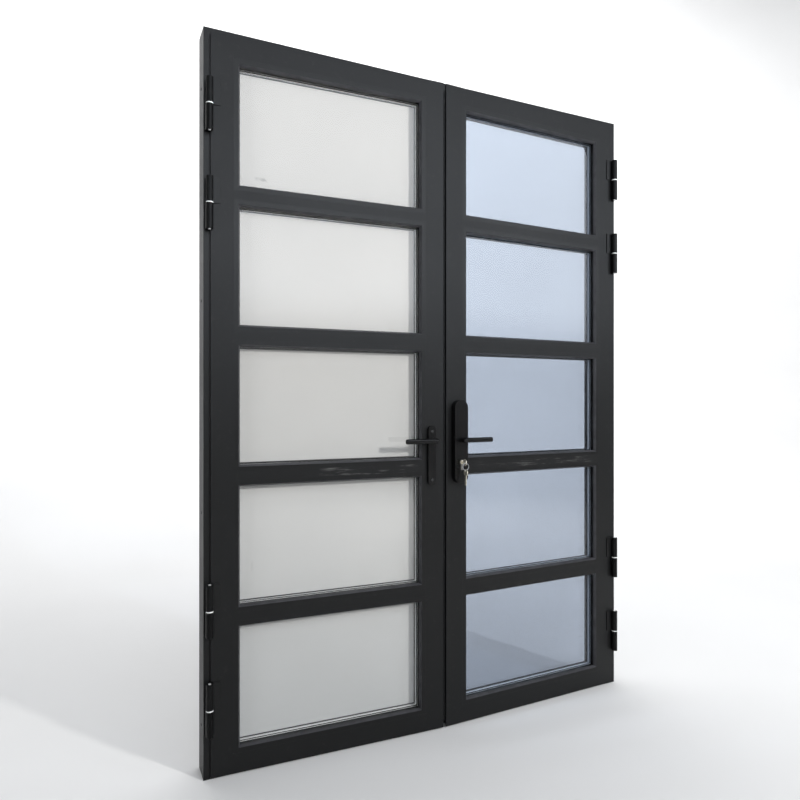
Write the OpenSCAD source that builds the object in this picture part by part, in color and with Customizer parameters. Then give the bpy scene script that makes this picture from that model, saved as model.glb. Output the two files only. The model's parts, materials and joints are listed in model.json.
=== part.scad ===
// Aluminium french doors: two glazed leaves hung in one frame, five panes to a leaf.
// X runs along the width, -Y faces the side that the leaves open towards, +Z is up.
// The origin is the middle of the sill's underside.

/* [Frame] */
// Overall width of the frame
frame_w = 1500; // [1200:10:1800]
// Overall height of the frame
frame_h = 2100; // [1750:10:2520]
// Frame face left bare beside and above the leaves
side_margin = 18; // [16:1:24]
// Sill face left bare below the leaves
sill_margin = 5; // [4:1:12]
// Lap of a leaf's flange over the frame's face
face_lap = 15; // [13:1:20]
// Gap between a leaf's box and the frame around it
rebate_gap = 5; // [4:0.5:7]
// Width of the stop lip behind the leaves
stop_w = 22; // [18:1:28]
// Depth of the stop lip
stop_d = 14; // [10:1:18]
// Thickness of the seal on the stop lip
stop_seal_t = 6; // [4:0.5:8]
// Wall of every aluminium extrusion
wall = 2; // [1.5:0.1:2.4]
// Diameter of the fixing holes through the jambs
fixing_d = 10; // [8:0.5:12]
// Distance between fixing holes
fixing_pitch = 600; // [400:10:600]
// Height of the lowest fixing hole
fixing_low = 140; // [100:5:200]

/* [Leaves] */
// Angle that each leaf stands open
ajar = 2.2; // [2:0.1:10]
// Gap between the two leaves when shut
meeting_gap = 10; // [9:0.5:14]
// How far a leaf's face stands in front of the frame's face
leaf_proud = 7; // [6:0.5:9]
// Thickness of the flange that laps the frame
flange_t = 5; // [4:0.5:5]
// Width of each stile without its bead
stile_w = 63; // [60:0.1:76]
// Height of each rail without its bead
rail_w = 56; // [50:1:75]
// Height of each transom without its beads
transom_w = 24; // [20:1:40]
// Number of panes one above another in each leaf
pane_rows = 5; // [3:1:6]

/* [Glazing] */
// Width of a bead's front face
bead_w = 14; // [11:1:18]
// Depth of a bead
bead_d = 22; // [16:1:26]
// Extra width that a bead's slope adds
bead_slope_w = 5; // [3:0.5:7]
// Depth of a bead's slope
bead_slope_d = 10; // [6:1:12]
// Wall of a bead
bead_wall = 1.6; // [1.2:0.1:2]
// Thickness of each sheet of glass
glass_t = 4; // [4:1:6]
// Width of the sealed space between the sheets
glass_space = 16; // [12:0.1:20]
// Room between a glass edge and the leaf
glass_edge = 5; // [4:0.5:7]
// Height of the spacer bar that shows past the beads
spacer_h = 7; // [6:0.5:9]
// Thickness of the gaskets that hold the glass
gasket_t = 3; // [2:0.5:4]
// Width of the glazing leg behind the glass
leg_w = 17; // [14:1:20]
// Depth of the glazing leg
leg_d = 10; // [8:0.5:12]

/* [Hinges] */
// Diameter of a hinge barrel
barrel_d = 20; // [17:0.5:20]
// Height of a hinge
hinge_h = 146; // [110:2:160]
// Diameter of a hinge pin
pin_d = 8; // [6:0.5:10]
// Thickness of the washer between the knuckles
washer_t = 3; // [2:0.5:5]
// Distance of the hinge axis outside the leaf's edge
axis_out = 4; // [4:0.5:6]
// Distance of the hinge axis in front of the leaf's face
axis_front = 10.5; // [10.5:0.5:13]
// Height of the lowest hinge's middle
hinge_low = 200; // [150:5:260]
// Distance from the frame's top to the highest hinge's middle
hinge_high = 219; // [150:1:260]
// Distance between the two hinges of a pair
hinge_pair = 274; // [200:2:320]
// Width of the wing on the leaf's face
wing_w = 26; // [20:1:34]
// Thickness of both wings
wing_t = 3; // [2:0.5:3]

/* [Handles] */
// Height of both lever spindles
lever_z = 931; // [900:1:1050]
// Length of a lever from its spindle to its end
lever_l = 107; // [90:1:125]
// Height of a lever's bar
lever_h = 16; // [12:0.5:17]
// Thickness of a lever's bar
lever_t = 11; // [9:0.5:13]
// Distance from the leaf's face to the middle of a lever
lever_stand = 44; // [42:1:55]
// Diameter of a lever's neck
neck_d = 16; // [14:0.5:20]
// Side of the square spindle
spindle_w = 8; // [7:0.5:8]
// Left spindle's distance from the meeting edge
left_set = 45; // [42:0.5:46]
// Right spindle's distance from the meeting edge
right_set = 45; // [43:0.5:46]
// Width of the left plate
left_plate_w = 26; // [22:1:28]
// Height of the left plate
left_plate_h = 190; // [185:1:230]
// Thickness of the left plate
left_plate_t = 10; // [8:0.5:12]
// Distance of the left plate's middle below the spindle
left_plate_drop = 48; // [40:1:60]
// Distance between the left plate's screws
left_screw_pitch = 154; // [150:1:160]
// Width of the right plates
right_plate_w = 50; // [44:1:50]
// Height of the right plates
right_plate_h = 270; // [240:1:300]
// Thickness of the front right plate
right_plate_t = 22; // [16:0.5:24]
// Thickness of the plate on the back of the right leaf
rear_plate_t = 10; // [8:0.5:14]
// Distance of the right plates' middle below the spindle
right_plate_drop = 6; // [0:1:15]
// Distance between the right plates' screws
right_screw_pitch = 250; // [248:1:252]
// Diameter of the plate screws
screw_d = 5; // [4:0.5:6]

/* [Locking] */
// Depth of the rods' groove from the face of the frame
groove_y = 20; // [18:0.5:24]
// Width of a rod
rod_w = 19.4; // [18.4:0.1:20]
// Thickness of a rod
rod_t = 4; // [3:0.5:5]
// Diameter of a rod's end pin
rod_pin_d = 8; // [6:0.5:9]
// Tooth size of the pinions and racks
gear_module = 1.2; // [1.2:0.1:1.2]
// Teeth on the left pinion
left_teeth = 16; // [16:2:16]
// Teeth on the right pinion
right_teeth = 16; // [16:2:16]
// Turn of the left lever
left_turn = 90; // [60:5:90]
// Turn of the right lever
right_turn = 60; // [30:5:60]
// Distance of the key cylinder below the spindle
cylinder_drop = 72; // [72:1:76]
// Height of the bolt
bolt_h = 24; // [18:1:26]
// Thickness of the bolt
bolt_t = 8; // [6:0.5:9]
// Travel of the bolt
bolt_throw = 20; // [16:0.5:20]
// Distance of the bolt below the key cylinder
bolt_drop = 38; // [38:0.5:42]
// Diameter of the key plug
plug_d = 13; // [12:0.5:14]
// Diameter of the split ring
ring_d = 24; // [22:0.5:28]

/* [Hidden] */
$fn = 48;

coat = [0.16, 0.17, 0.18];
rubber = [0.05, 0.05, 0.05];
bright = [0.78, 0.79, 0.80];
steel = [0.55, 0.56, 0.58];

slide_gap = 0.3;     // between sliding pieces and their guides
turn_gap = 0.05;     // round a turning shaft
touch_gap = 0.3;     // between a shut leaf's back and the stop seal
through = 1;         // how far a cut runs past the face it opens

// Leaf section: bead, gasket, glass, gasket and leg stacked from front to back
unit_t = 2 * glass_t + glass_space;
leaf_d = bead_d + 2 * gasket_t + unit_t + leg_d;
leaf_front = -leaf_proud;
leaf_back = leaf_front + leaf_d;
glass_y = leaf_front + bead_d + gasket_t;
flange_w = face_lap + rebate_gap;
stile_full = stile_w + leg_w;
rail_full = rail_w + leg_w;
leaf_w = (frame_w - meeting_gap) / 2 - side_margin;
leaf_h = frame_h - side_margin - sill_margin;
open_w = leaf_w - 2 * stile_w;
open_h = (leaf_h - 2 * rail_w - (pane_rows - 1) * transom_w) / pane_rows;
bead_full = bead_w + bead_slope_w;

// Frame section
frame_face = side_margin + face_lap;
sill_face = sill_margin + face_lap;
frame_d = leaf_back + stop_seal_t + stop_d;
stop_y = frame_d - stop_d;
frame_profile_w = frame_face + stop_w;
stop_seal_w = 8;
fixings = floor((frame_h - 2 * fixing_low) / fixing_pitch) + 1;

// Hinges
axis_x = side_margin - axis_out;
axis_y = leaf_front - axis_front;
hinge_zs = [
    hinge_low, hinge_low + hinge_pair,
    frame_h - hinge_high - hinge_pair, frame_h - hinge_high
];
knuckle_h = (hinge_h - washer_t) / 2;
pin_proud = 2;

// Groove for the rods, measured from the meeting edge
lip_t = 3;
mouth_w = 12;
chamber_w = rod_w + 2 * slide_gap;
chamber_d = rod_pin_d + 2;
groove_d = lip_t + chamber_d;
rod_x = lip_t + slide_gap;
rod_pin_x = lip_t + chamber_d / 2;
slider_h = 40;
rod_recess = 0.5;
lever_up = lever_z - sill_margin;

// Gears
left_pitch_r = gear_module * left_teeth / 2;
right_pitch_r = gear_module * right_teeth / 2;
left_travel = left_pitch_r * left_turn * PI / 180;
right_travel = right_pitch_r * right_turn * PI / 180;
pressure = 20;
addendum = 0.8 * gear_module;
dedendum = 1.1 * gear_module;
backlash = 0.35;
gear_t = 9;
rack_t = 8;
rack_spare = 4;
link_h = 8;
hub_d = 12;
case_t = 20;
case_wall = 1.5;
case_in = groove_d + wall + 0.2;
case_out = stile_w - wall - 0.2;
far_rack_out = case_out - case_wall - slide_gap;

// Lock
cylinder_up = lever_up - cylinder_drop;
bolt_up = cylinder_up - bolt_drop;
edge_plate_t = 2;
edge_plate_w = 22;
edge_plate_spare = 8;
strike_h = 80;
bolt_tip = 0.5 - edge_plate_t;
bolt_l = case_out - case_wall - 4 - bolt_tip;
guide_l = 12;
strike_hole_w = bolt_t + 5;
strike_hole_h = bolt_h + 4;
window_w = bolt_t + 4;
cylinder_proud = 3;
cylinder_leg_w = 10;
cylinder_leg_h = 25;
cylinder_d = 17;
cylinder_gap = 0.5;
plug_l = 34;
slot_w = 2.6;
slot_h = 9;
key_t = 2.2;
key_blade_h = 8.4;
key_blade_l = 28;
key_neck_l = 4;
bow_r = 11;
bow_hole_r = 3;
bow_hole_out = 6;
wire_d = 2;
right_front_y = leaf_front - right_plate_t;
plug_front_y = right_front_y - cylinder_proud;
key_bow_y = plug_front_y - key_neck_l - bow_r;
ring_y = key_bow_y - bow_hole_out;
ring_top = -(bow_hole_r - wire_d / 2) + 0.2;
ring_r = (ring_d - wire_d) / 2;
spare_hole = ring_top - 2 * ring_r - (bow_hole_r - wire_d / 2) + 0.2;

// ---- placing ----

// x from the frame's left edge inwards, y from the frame's front face backwards
module left_side() {
    translate([-frame_w / 2, -frame_d / 2, 0]) children();
}

module right_side() {
    mirror([1, 0, 0]) left_side() children();
}

module both_sides() {
    left_side() children();
    right_side() children();
}

// x from the leaf's hinge edge, z from its lower edge, turned ajar on the hinge axis
module hung() {
    translate([axis_x, axis_y, 0])
        rotate([0, 0, -ajar])
            translate([side_margin - axis_x, -axis_y, sill_margin])
                children();
}

// the same, with x from the meeting edge back into the leaf
module from_meeting() {
    translate([leaf_w, 0, 0]) mirror([1, 0, 0]) children();
}

// a profile drawn in x and y, run along X with its own x turned up
module along_x(length) {
    mirror([0, 0, 1]) rotate([0, 90, 0]) linear_extrude(length) children();
}

// a drawing in x and z, given a depth from y to y + t
module upright(y, t) {
    translate([0, y + t, 0]) rotate([90, 0, 0]) linear_extrude(t) children();
}

module along_y(y, length, r) {
    translate([0, y + length, 0]) rotate([90, 0, 0]) cylinder(h = length, r = r);
}

// ---- frame ----

module frame_profile(face) {
    difference() {
        union() {
            square([face, frame_d]);
            translate([0, stop_y]) square([face + stop_w, stop_d]);
        }
        translate([wall, wall]) square([face - 2 * wall, frame_d - 2 * wall]);
        translate([wall, stop_y + wall])
            square([face + stop_w - 2 * wall, stop_d - 2 * wall]);
    }
}

module jamb() {
    color(coat) difference() {
        intersection() {
            linear_extrude(frame_h) frame_profile(frame_face);
            upright(-through, frame_d + 2 * through) polygon([
                [0, 0], [frame_profile_w, 0],
                [frame_profile_w, frame_h - frame_profile_w], [0, frame_h]
            ]);
        }
        translate([frame_face, 0, -through])
            cube([stop_w + through, frame_d + through, sill_face + stop_w + through]);
        for (i = [0 : fixings - 1])
            translate([-through, frame_d / 2, fixing_low + i * fixing_pitch])
                rotate([0, 90, 0])
                    cylinder(h = frame_face + 2 * through, d = fixing_d);
    }
}

module frame_head() {
    color(coat) left_side() difference() {
        intersection() {
            translate([0, 0, frame_h])
                mirror([0, 0, 1]) along_x(frame_w) frame_profile(frame_face);
            upright(-through, frame_d + 2 * through) polygon([
                [0, frame_h], [frame_w, frame_h],
                [frame_w - frame_profile_w, frame_h - frame_profile_w],
                [frame_profile_w, frame_h - frame_profile_w]
            ]);
        }
        translate([0, 0, frame_h - frame_face - through])
            keep_slots(wall + 2 * through);
    }
}

module frame_sill() {
    color(coat) left_side() difference() {
        translate([frame_face, 0, 0])
            along_x(frame_w - 2 * frame_face) frame_profile(sill_face);
        translate([0, 0, sill_face - wall - through]) keep_slots(wall + 2 * through);
    }
}

module frame_jamb_left() { left_side() jamb(); }

module frame_jamb_right() { right_side() jamb(); }

module frame_seal() {
    seal_y = leaf_back + touch_gap;
    seal_t = stop_y - seal_y;
    inset = (stop_w - stop_seal_w) / 2;
    low = sill_face + inset;
    high = frame_h - frame_face - inset;
    side = frame_face + inset;
    color(rubber) left_side() upright(seal_y, seal_t) difference() {
        translate([side, low]) square([frame_w - 2 * side, high - low]);
        translate([side + stop_seal_w, low + stop_seal_w])
            square([frame_w - 2 * (side + stop_seal_w), high - low - 2 * stop_seal_w]);
    }
}

module frame_cleats() {
    arm = 90;
    cleat_t = 20;
    gap = wall + slide_gap;
    band = frame_face - 2 * gap;
    low_h = sill_face - 2 * gap;
    color(bright) both_sides() {
        upright((frame_d - cleat_t) / 2, cleat_t) {
            translate([gap, frame_h - gap - arm]) square([band, arm]);
            translate([gap, frame_h - gap - band]) square([arm, band]);
        }
        translate([frame_face, (frame_d - cleat_t) / 2, gap])
            cube([arm, cleat_t, low_h]);
    }
}

// ---- keeps for the rods ----

keep_t = 2;
keep_w = 70;
keep_d = 24;
keep_slot = [rod_pin_d + 14, rod_pin_d + 5];

module keep_slots(h) {
    for (side = [-1, 1])
        translate([
            frame_w / 2 + side * (meeting_gap / 2 + rod_pin_x) - keep_slot[0] / 2,
            groove_y - keep_slot[1] / 2, 0
        ]) cube([keep_slot[0], keep_slot[1], h]);
}

module keep() {
    difference() {
        translate([(frame_w - keep_w) / 2, groove_y - keep_d / 2, 0])
            cube([keep_w, keep_d, keep_t]);
        translate([0, 0, -through]) keep_slots(keep_t + 2 * through);
    }
}

module rod_keeps() {
    color(steel) left_side() {
        translate([0, 0, sill_face]) keep();
        translate([0, 0, frame_h - frame_face - keep_t]) keep();
    }
}

// ---- hinges ----

module on_hinges() {
    for (z = hinge_zs)
        translate([axis_x, axis_y, z - hinge_h / 2]) children();
}

// the frame's half: barrel, web and a wing on the frame's bare face
module frame_hinge() {
    wing_in = axis_out - 0.5;
    web_w = 9;
    difference() {
        union() {
            cylinder(h = knuckle_h, d = barrel_d);
            translate([-axis_x + 1, -axis_y - wing_t, 0])
                cube([axis_x - 1 + wing_in, wing_t, knuckle_h]);
            translate([-web_w - 1, 0, 0]) cube([web_w, -axis_y, knuckle_h]);
        }
        translate([0, 0, -through])
            cylinder(h = knuckle_h + 2 * through, d = pin_d + turn_gap);
    }
}

module frame_hinges() {
    color(coat) both_sides() on_hinges() frame_hinge();
}

module hinge_pins() {
    color(bright) both_sides() on_hinges()
        translate([0, 0, -pin_proud])
            cylinder(h = hinge_h + 2 * pin_proud, d = pin_d);
}

module hinge_washers() {
    color("white") both_sides() on_hinges() translate([0, 0, knuckle_h]) difference() {
        cylinder(h = washer_t - turn_gap, d = barrel_d);
        translate([0, 0, -through])
            cylinder(h = washer_t + 2 * through, d = pin_d + turn_gap);
    }
}

// the leaf's half, above the washer, with its wing on the leaf's face
module leaf_hinge() {
    translate([0, 0, hinge_h - knuckle_h]) difference() {
        union() {
            cylinder(h = knuckle_h, d = barrel_d);
            translate([0, axis_front - wing_t, 0])
                cube([axis_out + wing_w, wing_t, knuckle_h]);
        }
        translate([0, 0, -through])
            cylinder(h = knuckle_h + 2 * through, d = pin_d + 2 * turn_gap);
    }
}

module leaf_hinge_wings() {
    color(coat)
        translate([-side_margin, 0, -sill_margin]) on_hinges() leaf_hinge();
}

// ---- stiles, rails and transoms ----

module leg_2d() {
    difference() {
        square([leg_w, leg_d]);
        translate([0, wall]) square([leg_w - wall, leg_d - 2 * wall]);
    }
}

// stile or rail with the flange that laps the frame
module flanged_profile(w) {
    difference() {
        union() {
            translate([0, leaf_front]) square([w, flange_t]);
            translate([flange_w, leaf_front]) square([w - flange_w, leaf_d]);
        }
        translate([flange_w + wall, leaf_front + wall])
            square([w - flange_w - 2 * wall, leaf_d - 2 * wall]);
    }
    translate([w, leaf_back - leg_d]) leg_2d();
}

// meeting stile, x from the meeting edge, with the rods' groove
module meeting_profile() {
    front_h = groove_y - chamber_w / 2 - wall - (leaf_front + wall);
    back_y = groove_y + chamber_w / 2 + wall;
    difference() {
        translate([0, leaf_front]) square([stile_w, leaf_d]);
        translate([groove_d + wall, leaf_front + wall])
            square([stile_w - groove_d - 2 * wall, leaf_d - 2 * wall]);
        translate([wall, leaf_front + wall]) square([groove_d - wall, front_h]);
        translate([wall, back_y]) square([groove_d - wall, leaf_back - wall - back_y]);
        translate([-through, groove_y - mouth_w / 2])
            square([lip_t + 2 * through, mouth_w]);
        translate([lip_t, groove_y - chamber_w / 2]) square([chamber_d, chamber_w]);
    }
    translate([stile_w, leaf_back - leg_d]) leg_2d();
}

// outline that mitres a stile at both ends
module stile_mitre() {
    upright(leaf_front - through, leaf_d + 2 * through) polygon([
        [0, 0], [stile_full, rail_full], [stile_full, leaf_h - rail_full], [0, leaf_h]
    ]);
}

module hinge_stile() {
    color(coat) intersection() {
        linear_extrude(leaf_h) flanged_profile(stile_w);
        stile_mitre();
    }
}

// the box stops short at both ends, where the frame's head and sill pass behind
module meeting_blank() {
    trim_y = leaf_front + flange_t;
    from_meeting() difference() {
        intersection() {
            linear_extrude(leaf_h) meeting_profile();
            stile_mitre();
        }
        for (z = [-through, leaf_h - flange_w])
            translate([-through, trim_y, z])
                cube([stile_w, leaf_d, flange_w + through]);
    }
}

module bottom_rail() {
    color(coat) intersection() {
        along_x(leaf_w) flanged_profile(rail_w);
        upright(leaf_front - through, leaf_d + 2 * through) polygon([
            [0, 0], [leaf_w, 0], [leaf_w - stile_full, rail_full], [stile_full, rail_full]
        ]);
    }
}

module top_rail() {
    translate([0, 0, leaf_h]) mirror([0, 0, 1]) bottom_rail();
}

function row_z(k) = rail_w + k * (open_h + transom_w);

module transom_profile() {
    difference() {
        translate([0, leaf_front]) square([transom_w, leaf_d]);
        translate([wall, leaf_front + wall])
            square([transom_w - 2 * wall, leaf_d - 2 * wall]);
    }
    translate([transom_w, leaf_back - leg_d]) leg_2d();
    translate([0, leaf_back - leg_d]) mirror([1, 0]) leg_2d();
}

module transoms() {
    color(coat) for (k = [1 : pane_rows - 1])
        translate([stile_w, 0, row_z(k) - transom_w]) difference() {
            along_x(open_w) transom_profile();
            for (x = [-through, open_w - leg_w])
                translate([x, leaf_back - leg_d, -leg_w - through])
                    cube([leg_w + through, leg_d + through, transom_w + 2 * (leg_w + through)]);
        }
}

// L-shaped blocks that hold the mitres together, inside the boxes
module leaf_cleats() {
    arm = 100;
    cleat_t = 20;
    low = flange_w + wall + slide_gap;
    stile_in = min(stile_w - wall, (rail_w - wall) * stile_full / rail_full);
    rail_in = min(rail_w - wall, (stile_w - wall) * rail_full / stile_full);
    stile_band = stile_in - slide_gap - low;
    rail_band = rail_in - slide_gap - low;
    color(bright)
        for (right = [0, 1])
            for (top = [0, 1])
                translate([right * leaf_w, leaf_back / 2, top * leaf_h])
                    mirror([right, 0, 0])
                        mirror([0, 0, top])
                            upright(0, cleat_t) {
                                translate([low, low]) square([stile_band, arm - low]);
                                translate([low, low]) square([arm - low, rail_band]);
                            }
}

// ---- glazing ----

module each_pane() {
    for (k = [0 : pane_rows - 1])
        translate([stile_w, 0, row_z(k)]) children();
}

// rectangular ring between two insets from the opening's edge
module opening_ring(outer, inner, y, t) {
    upright(y, t) difference() {
        translate([outer, outer]) square([open_w - 2 * outer, open_h - 2 * outer]);
        translate([inner, inner]) square([open_w - 2 * inner, open_h - 2 * inner]);
    }
}

module pane(y) {
    translate([glass_edge, y, glass_edge])
        cube([open_w - 2 * glass_edge, glass_t, open_h - 2 * glass_edge]);
}

module bead_profile() {
    slope_in = bead_full - bead_wall;
    difference() {
        polygon([
            [0, 0], [bead_w, 0], [bead_full, bead_slope_d], [bead_full, bead_d], [0, bead_d]
        ]);
        polygon([
            [bead_wall, bead_wall], [bead_w - bead_wall / 2, bead_wall],
            [slope_in, bead_slope_d + bead_wall / 4],
            [slope_in, bead_d - bead_wall], [bead_wall, bead_d - bead_wall]
        ]);
    }
}

module bead(length) {
    intersection() {
        translate([0, leaf_front, 0]) along_x(length) bead_profile();
        upright(leaf_front - through, bead_d + 2 * through) polygon([
            [0, 0], [length, 0], [length - bead_full, bead_full], [bead_full, bead_full]
        ]);
    }
}

module beads() {
    color(coat) each_pane() {
        bead(open_w);
        translate([0, 0, open_h]) mirror([0, 0, 1]) bead(open_w);
        translate([0, 0, open_h]) rotate([0, 90, 0]) bead(open_h);
        translate([open_w, 0, open_h])
            mirror([1, 0, 0]) rotate([0, 90, 0]) bead(open_h);
    }
}

module front_panes(tint) {
    color(tint) each_pane() pane(glass_y);
}

module back_panes(tint) {
    color(tint) each_pane() pane(glass_y + glass_t + glass_space);
}

module spacers() {
    bar_wall = 1;
    color(bright) each_pane() difference() {
        opening_ring(bead_full - spacer_h, bead_full, glass_y + glass_t, glass_space);
        opening_ring(
            bead_full - spacer_h + bar_wall, bead_full - bar_wall,
            glass_y + glass_t + bar_wall, glass_space - 2 * bar_wall
        );
    }
}

// glazing gaskets, the glass units' edge seal, the lap seal and the meeting seal
module seals() {
    gasket_w = 6;
    lap_w = 8;
    lap_in = 4;
    lap_t = leaf_proud - flange_t - touch_gap;
    meeting_t = 3.5;
    meeting_y = leaf_front + 9;
    meeting_w = 6;
    outer = bead_full - 1 - gasket_w;
    color(rubber) {
        each_pane() {
            opening_ring(outer, outer + gasket_w, glass_y - gasket_t, gasket_t);
            opening_ring(outer, outer + gasket_w, glass_y + unit_t, gasket_t);
            opening_ring(
                glass_edge + 1, bead_full - spacer_h, glass_y + glass_t, glass_space
            );
        }
        upright(leaf_front + flange_t, lap_t) {
            translate([lap_in, lap_in]) square([lap_w, leaf_h - 2 * lap_in]);
            translate([lap_in, lap_in]) square([leaf_w - lap_in, lap_w]);
            translate([lap_in, leaf_h - lap_in - lap_w])
                square([leaf_w - lap_in, lap_w]);
        }
        translate([leaf_w, meeting_y, flange_w])
            cube([meeting_t, meeting_w, leaf_h - 2 * flange_w]);
    }
}

// ---- handles ----

// x and z at the spindle, from the meeting edge
module at_spindle(set) {
    from_meeting() translate([set, 0, lever_up]) children();
}

// plate with round ends, middle below the spindle
module round_plate(w, h, drop) {
    translate([0, -drop]) {
        translate([-w / 2, (w - h) / 2]) square([w, h - w]);
        for (side = [-1, 1])
            translate([0, side * (h - w) / 2]) circle(d = w, $fn = 64);
    }
}

neck_hole_d = neck_d + 2 * slide_gap;

module screw_spots(pitch, drop) {
    for (side = [-1, 1])
        translate([0, 0, side * pitch / 2 - drop]) children();
}

module left_plate() {
    color(coat) left_side() hung() at_spindle(left_set) difference() {
        upright(leaf_front - left_plate_t, left_plate_t)
            round_plate(left_plate_w, left_plate_h, left_plate_drop);
        along_y(leaf_front - left_plate_t - through, left_plate_t + 2 * through, neck_hole_d / 2);
        screw_spots(left_screw_pitch, left_plate_drop)
            along_y(
                leaf_front - left_plate_t - through, left_plate_t + 2 * through,
                screw_d / 2 + turn_gap
            );
    }
}

module left_plate_screws() {
    head_d = 9;
    head_t = 2;
    length = left_plate_t + 8;
    color(steel) left_side() hung() at_spindle(left_set)
        screw_spots(left_screw_pitch, left_plate_drop) {
            along_y(leaf_front - left_plate_t - head_t, head_t, head_d / 2);
            along_y(leaf_front - left_plate_t, length, screw_d / 2);
        }
}

// the cylinder's outline: a round body with a narrow leg below it
module cylinder_outline(gap) {
    circle(d = cylinder_d + 2 * gap, $fn = 64);
    translate([-cylinder_leg_w / 2 - gap, -cylinder_leg_h - gap])
        square([cylinder_leg_w + 2 * gap, cylinder_leg_h + gap]);
}

module right_plate_blank(y, t) {
    difference() {
        upright(y, t) round_plate(right_plate_w, right_plate_h, right_plate_drop);
        along_y(y - through, t + 2 * through, neck_hole_d / 2);
        upright(y - through, t + 2 * through)
            translate([0, -cylinder_drop]) cylinder_outline(cylinder_gap);
    }
}

module right_plate() {
    blind = right_plate_t - 4;
    color(coat) right_side() hung() at_spindle(right_set) difference() {
        right_plate_blank(right_front_y, right_plate_t);
        screw_spots(right_screw_pitch, right_plate_drop)
            along_y(leaf_front - blind, blind + through, screw_d / 2 + turn_gap);
    }
}

module right_rear_plate() {
    color(coat) right_side() hung() at_spindle(right_set) difference() {
        right_plate_blank(leaf_back, rear_plate_t);
        screw_spots(right_screw_pitch, right_plate_drop)
            along_y(leaf_back - through, rear_plate_t + 2 * through, screw_d / 2 + turn_gap);
    }
}

module right_plate_screws() {
    head_d = 9;
    head_t = 2;
    bite = 12;
    color(steel) right_side() hung() at_spindle(right_set)
        screw_spots(right_screw_pitch, right_plate_drop) {
            along_y(leaf_back + rear_plate_t, head_t, head_d / 2);
            along_y(
                leaf_front - bite, leaf_d + bite + rear_plate_t, screw_d / 2
            );
        }
}

// lever with its neck, pointing to its hinge side, centred on the spindle
module lever(plate_t) {
    sink = 3;
    socket = 24;
    front = leaf_front - lever_stand;
    neck_l = lever_stand - plate_t + sink;
    difference() {
        union() {
            along_y(front, neck_l, neck_d / 2);
            translate([0, front, 0]) rotate([0, 90, 0])
                linear_extrude(lever_l - lever_t / 2) lever_section();
            translate([lever_l - lever_t / 2, front, -(lever_h - lever_t) / 2])
                cylinder(h = lever_h - lever_t, d = lever_t);
            translate([0, front, 0]) sphere(d = neck_d);
            for (side = [-1, 1])
                translate([
                    lever_l - lever_t / 2, front, side * (lever_h - lever_t) / 2
                ]) sphere(d = lever_t);
        }
        translate([
            -spindle_w / 2 - turn_gap, leaf_front - plate_t + sink - socket,
            -spindle_w / 2 - turn_gap
        ]) cube([spindle_w + 2 * turn_gap, socket + through, spindle_w + 2 * turn_gap]);
    }
}

module lever_section() {
    square([lever_h - lever_t, lever_t], center = true);
    for (side = [-1, 1])
        translate([side * (lever_h - lever_t) / 2, 0]) circle(d = lever_t);
}

module left_lever() {
    color(coat) left_side() hung() at_spindle(left_set) lever(left_plate_t);
}

module right_lever() {
    color(coat) right_side() hung() at_spindle(right_set) lever(right_plate_t);
}

// the front lever turned about the middle of the leaf's thickness
module right_rear_lever() {
    color(coat) right_side() hung() at_spindle(right_set)
        translate([0, leaf_front + leaf_back, 0])
            mirror([0, 1, 0]) lever(rear_plate_t);
}

module spindle(y, length) {
    color(steel)
        translate([-spindle_w / 2, y, -spindle_w / 2])
            cube([spindle_w, length, spindle_w]);
}

module left_spindle() {
    start = leaf_front - left_plate_t - 18;
    left_side() hung() at_spindle(left_set)
        spindle(start, groove_y + case_t / 2 - start);
}

module right_spindle() {
    start = leaf_front - right_plate_t - 18;
    left_end = leaf_back + rear_plate_t + 18;
    right_side() hung() at_spindle(right_set) spindle(start, left_end - start);
}

// ---- pinions and rods ----

function involute(angle) = tan(angle) * 180 / PI - angle;

// half the angle that a tooth takes at radius r
function tooth_half(teeth, pitch_r, r) =
    90 / teeth - backlash / 2 / pitch_r * 180 / PI
    + involute(pressure) - involute(acos(min(1, pitch_r * cos(pressure) / r)));

function polar(r, angle) = [r * cos(angle), r * sin(angle)];

module pinion_2d(teeth) {
    pitch_r = gear_module * teeth / 2;
    root_r = pitch_r - dedendum;
    tip_r = pitch_r + addendum;
    steps = 3;
    polygon([
        for (i = [0 : teeth - 1])
            for (side = [-1, 1])
                for (k = [0 : steps + 1])
                    let (
                        j = side < 0 ? k : steps + 1 - k,
                        base_r = max(root_r + 0.01, pitch_r * cos(pressure)),
                        r = j == 0 ? root_r : base_r + (tip_r - base_r) * (j - 1) / steps
                    )
                    polar(r, i * 360 / teeth + side * tooth_half(teeth, pitch_r, max(r, base_r)))
    ]);
}

module pinion(teeth) {
    color(steel) difference() {
        union() {
            upright(groove_y - gear_t / 2, gear_t) pinion_2d(teeth);
            along_y(groove_y - case_t / 2, case_t, hub_d / 2);
        }
        translate([
            -spindle_w / 2 - turn_gap, groove_y - case_t / 2 - through,
            -spindle_w / 2 - turn_gap
        ]) cube([
            spindle_w + 2 * turn_gap, case_t + 2 * through, spindle_w + 2 * turn_gap
        ]);
    }
}

module left_pinion() { left_side() hung() at_spindle(left_set) pinion(left_teeth); }

module right_pinion() { right_side() hung() at_spindle(right_set) pinion(right_teeth); }

// straight teeth along y, pitch line on x = 0, teeth pointing to +x,
// with a gap at y = 0
module rack_2d(low, high, back) {
    pitch = PI * gear_module;
    half = pitch / 4 - backlash / 2;
    slope = tan(pressure);
    first = ceil(low / pitch - 0.5) + 1;
    last = floor(high / pitch - 0.5) - 1;
    translate([-back, low]) square([back - dedendum, high - low]);
    for (i = [first : last])
        translate([0, (i + 0.5) * pitch]) polygon([
            [-dedendum - 0.2, -half - dedendum * slope], [addendum, -half + addendum * slope],
            [addendum, half - addendum * slope], [-dedendum - 0.2, half + dedendum * slope]
        ]);
}

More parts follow.
